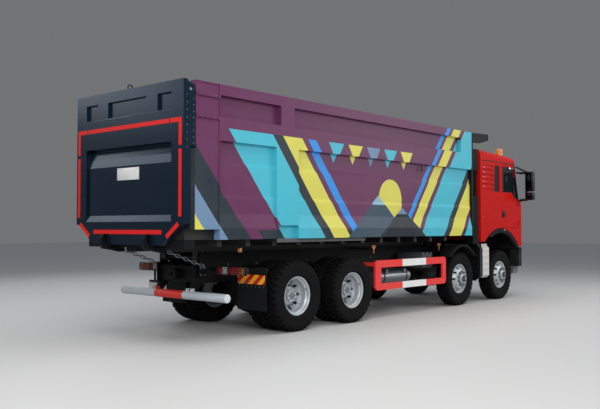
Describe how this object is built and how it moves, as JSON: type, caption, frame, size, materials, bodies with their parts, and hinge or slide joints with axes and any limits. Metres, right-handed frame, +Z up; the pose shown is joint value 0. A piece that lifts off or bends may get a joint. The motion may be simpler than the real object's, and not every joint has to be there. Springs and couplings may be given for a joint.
{
  "type": "dump truck",
  "caption": "Eight-wheel rear-tipping dump truck: cab over engine, steered front axles, high steel bed on a front hoist, top-hung tailgate.",
  "frame": {"origin": "on the ground below the middle of the truck's length and width", "axes": "+X forward, +Y to the truck's left, +Z up"},
  "size_m": [10.45, 3.18, 3.648],
  "materials": {
    "frame_black": "satin",
    "cast_dark": "rough",
    "engine_grey": "satin",
    "tank_grey": "satin",
    "shield_silver": "satin",
    "guard_red": "gloss",
    "bar_grey": "satin",
    "lamp_red": "gloss",
    "guard_plastic": "matte",
    "cab_red": "gloss",
    "glass": "clear",
    "seat_fabric": "woven",
    "trim_black": "grained",
    "beacon_amber": "clear",
    "bed_plum": "gloss",
    "bed_steel": "satin",
    "gate_navy": "gloss",
    "chain_steel": "worn",
    "hoist_chrome": "polished",
    "rim_silver": "satin",
    "tyre": "matte"
  },
  "bodies": {
    "chassis": {"ladder_frame": "frame_black", "subframe": "frame_black", "engine": "engine_grey", "fuel_tank": "tank_grey", "air_tanks": "tank_grey", "silencer": "shield_silver", "side_guards": "guard_red", "front_axles": "cast_dark", "driveline": "cast_dark", "springs": "cast_dark", "rear_bar": "bar_grey", "lamps": "lamp_red", "mudguards": "guard_plastic", "bumper": "frame_black", "intake": "frame_black", "cab_shell": "cab_red", "cab_glass": "glass", "seats": "seat_fabric", "dashboard": "trim_black", "mirrors": "trim_black", "grille": "trim_black", "beacons": "beacon_amber"},
    "bed": {"bed_floor": "bed_steel", "bed_side_left": "bed_plum", "bed_side_right": "bed_plum", "bed_front": "bed_steel", "bed_rear_frame": "bed_steel", "chains": "chain_steel"},
    "tailgate": {"tailgate": "gate_navy"},
    "hoist_barrel": {"hoist_barrel": "hoist_chrome"},
    "hoist_stage_1": {"hoist_stage_1": "hoist_chrome"},
    "hoist_stage_2": {"hoist_stage_2": "hoist_chrome"},
    "hoist_stage_3": {"hoist_stage_3": "hoist_chrome"},
    "door_left": {"door_left": "cab_red", "door_glass_left": "glass"},
    "door_right": {"door_right": "cab_red", "door_glass_right": "glass"},
    "knuckle_1_left": {"knuckle_1_left": "cast_dark"},
    "wheel_1_left": {"rim_1_left": "rim_silver", "tyre_1_left": "tyre"},
    "knuckle_1_right": {"knuckle_1_right": "cast_dark"},
    "wheel_1_right": {"rim_1_right": "rim_silver", "tyre_1_right": "tyre"},
    "knuckle_2_left": {"knuckle_2_left": "cast_dark"},
    "wheel_2_left": {"rim_2_left": "rim_silver", "tyre_2_left": "tyre"},
    "knuckle_2_right": {"knuckle_2_right": "cast_dark"},
    "wheel_2_right": {"rim_2_right": "rim_silver", "tyre_2_right": "tyre"},
    "wheel_3_left": {"rim_3_left": "rim_silver", "tyre_3_left": "tyre"},
    "wheel_3_right": {"rim_3_right": "rim_silver", "tyre_3_right": "tyre"},
    "wheel_4_left": {"rim_4_left": "rim_silver", "tyre_4_left": "tyre"},
    "wheel_4_right": {"rim_4_right": "rim_silver", "tyre_4_right": "tyre"}
  },
  "joints": [
    {"name": "bed_tilt", "type": "hinge", "parent": "chassis", "child": "bed", "pos_m": [-4.1, 0, 1.16], "axis": [0, -1, 0], "range_deg": [0, 45]},
    {"name": "tailgate_swing", "type": "hinge", "parent": "bed", "child": "tailgate", "pos_m": [-5.015, 0, 3.44], "axis": [0, 1, 0], "range_deg": [0, 60]},
    {"name": "hoist_lean", "type": "hinge", "parent": "chassis", "child": "hoist_barrel", "pos_m": [2.875, 0, 0.98], "axis": [0, -1, 0], "range_deg": [0, 28.42]},
    {"name": "hoist_slide_1", "type": "slide", "parent": "hoist_barrel", "child": "hoist_stage_1", "axis": [0, 0, 1], "range_m": [0, 1.73511]},
    {"name": "hoist_slide_2", "type": "slide", "parent": "hoist_stage_1", "child": "hoist_stage_2", "axis": [0, 0, 1], "range_m": [0, 1.73511]},
    {"name": "hoist_slide_3", "type": "slide", "parent": "hoist_stage_2", "child": "hoist_stage_3", "axis": [0, 0, 1], "range_m": [0, 1.73511]},
    {"name": "door_left_swing", "type": "hinge", "parent": "chassis", "child": "door_left", "pos_m": [4.878, 1.248, 1.9], "axis": [0, 0, -1], "range_deg": [0, 70]},
    {"name": "door_right_swing", "type": "hinge", "parent": "chassis", "child": "door_right", "pos_m": [4.878, -1.248, 1.9], "axis": [0, 0, 1], "range_deg": [0, 70]},
    {"name": "steer_1_left", "type": "hinge", "parent": "chassis", "child": "knuckle_1_left", "pos_m": [4.075, 0.84, 0.545], "axis": [0, 0, 1], "range_deg": [-38, 38]},
    {"name": "wheel_1_left_spin", "type": "hinge", "parent": "knuckle_1_left", "child": "wheel_1_left", "pos_m": [4.075, 1.04, 0.545], "axis": [0, 1, 0], "continuous": true},
    {"name": "steer_1_right", "type": "hinge", "parent": "chassis", "child": "knuckle_1_right", "pos_m": [4.075, -0.84, 0.545], "axis": [0, 0, 1], "range_deg": [-38, 38]},
    {"name": "wheel_1_right_spin", "type": "hinge", "parent": "knuckle_1_right", "child": "wheel_1_right", "pos_m": [4.075, -1.04, 0.545], "axis": [0, 1, 0], "continuous": true},
    {"name": "steer_2_left", "type": "hinge", "parent": "chassis", "child": "knuckle_2_left", "pos_m": [2.275, 0.84, 0.545], "axis": [0, 0, 1], "range_deg": [-27, 27]},
    {"name": "wheel_2_left_spin", "type": "hinge", "parent": "knuckle_2_left", "child": "wheel_2_left", "pos_m": [2.275, 1.04, 0.545], "axis": [0, 1, 0], "continuous": true},
    {"name": "steer_2_right", "type": "hinge", "parent": "chassis", "child": "knuckle_2_right", "pos_m": [2.275, -0.84, 0.545], "axis": [0, 0, 1], "range_deg": [-27, 27]},
    {"name": "wheel_2_right_spin", "type": "hinge", "parent": "knuckle_2_right", "child": "wheel_2_right", "pos_m": [2.275, -1.04, 0.545], "axis": [0, 1, 0], "continuous": true},
    {"name": "wheel_3_left_spin", "type": "hinge", "parent": "chassis", "child": "wheel_3_left", "pos_m": [-1.425, 0.925, 0.545], "axis": [0, 1, 0], "continuous": true},
    {"name": "wheel_3_right_spin", "type": "hinge", "parent": "chassis", "child": "wheel_3_right", "pos_m": [-1.425, -0.925, 0.545], "axis": [0, 1, 0], "continuous": true},
    {"name": "wheel_4_left_spin", "type": "hinge", "parent": "chassis", "child": "wheel_4_left", "pos_m": [-2.825, 0.925, 0.545], "axis": [0, 1, 0], "continuous": true},
    {"name": "wheel_4_right_spin", "type": "hinge", "parent": "chassis", "child": "wheel_4_right", "pos_m": [-2.825, -0.925, 0.545], "axis": [0, 1, 0], "continuous": true}
  ],
  "couplings": [
    {"joint": "hoist_lean", "follows": "bed_tilt", "ratio": 0.62722},
    {"joint": "hoist_slide_1", "follows": "bed_tilt", "m_per_rad": 2.2067},
    {"joint": "hoist_slide_2", "follows": "bed_tilt", "m_per_rad": 2.2067},
    {"joint": "hoist_slide_3", "follows": "bed_tilt", "m_per_rad": 2.2067},
    {"joint": "steer_1_right", "follows": "steer_1_left", "ratio": 1},
    {"joint": "steer_2_left", "follows": "steer_1_left", "ratio": 0.71},
    {"joint": "steer_2_right", "follows": "steer_1_left", "ratio": 0.71}
  ]
}
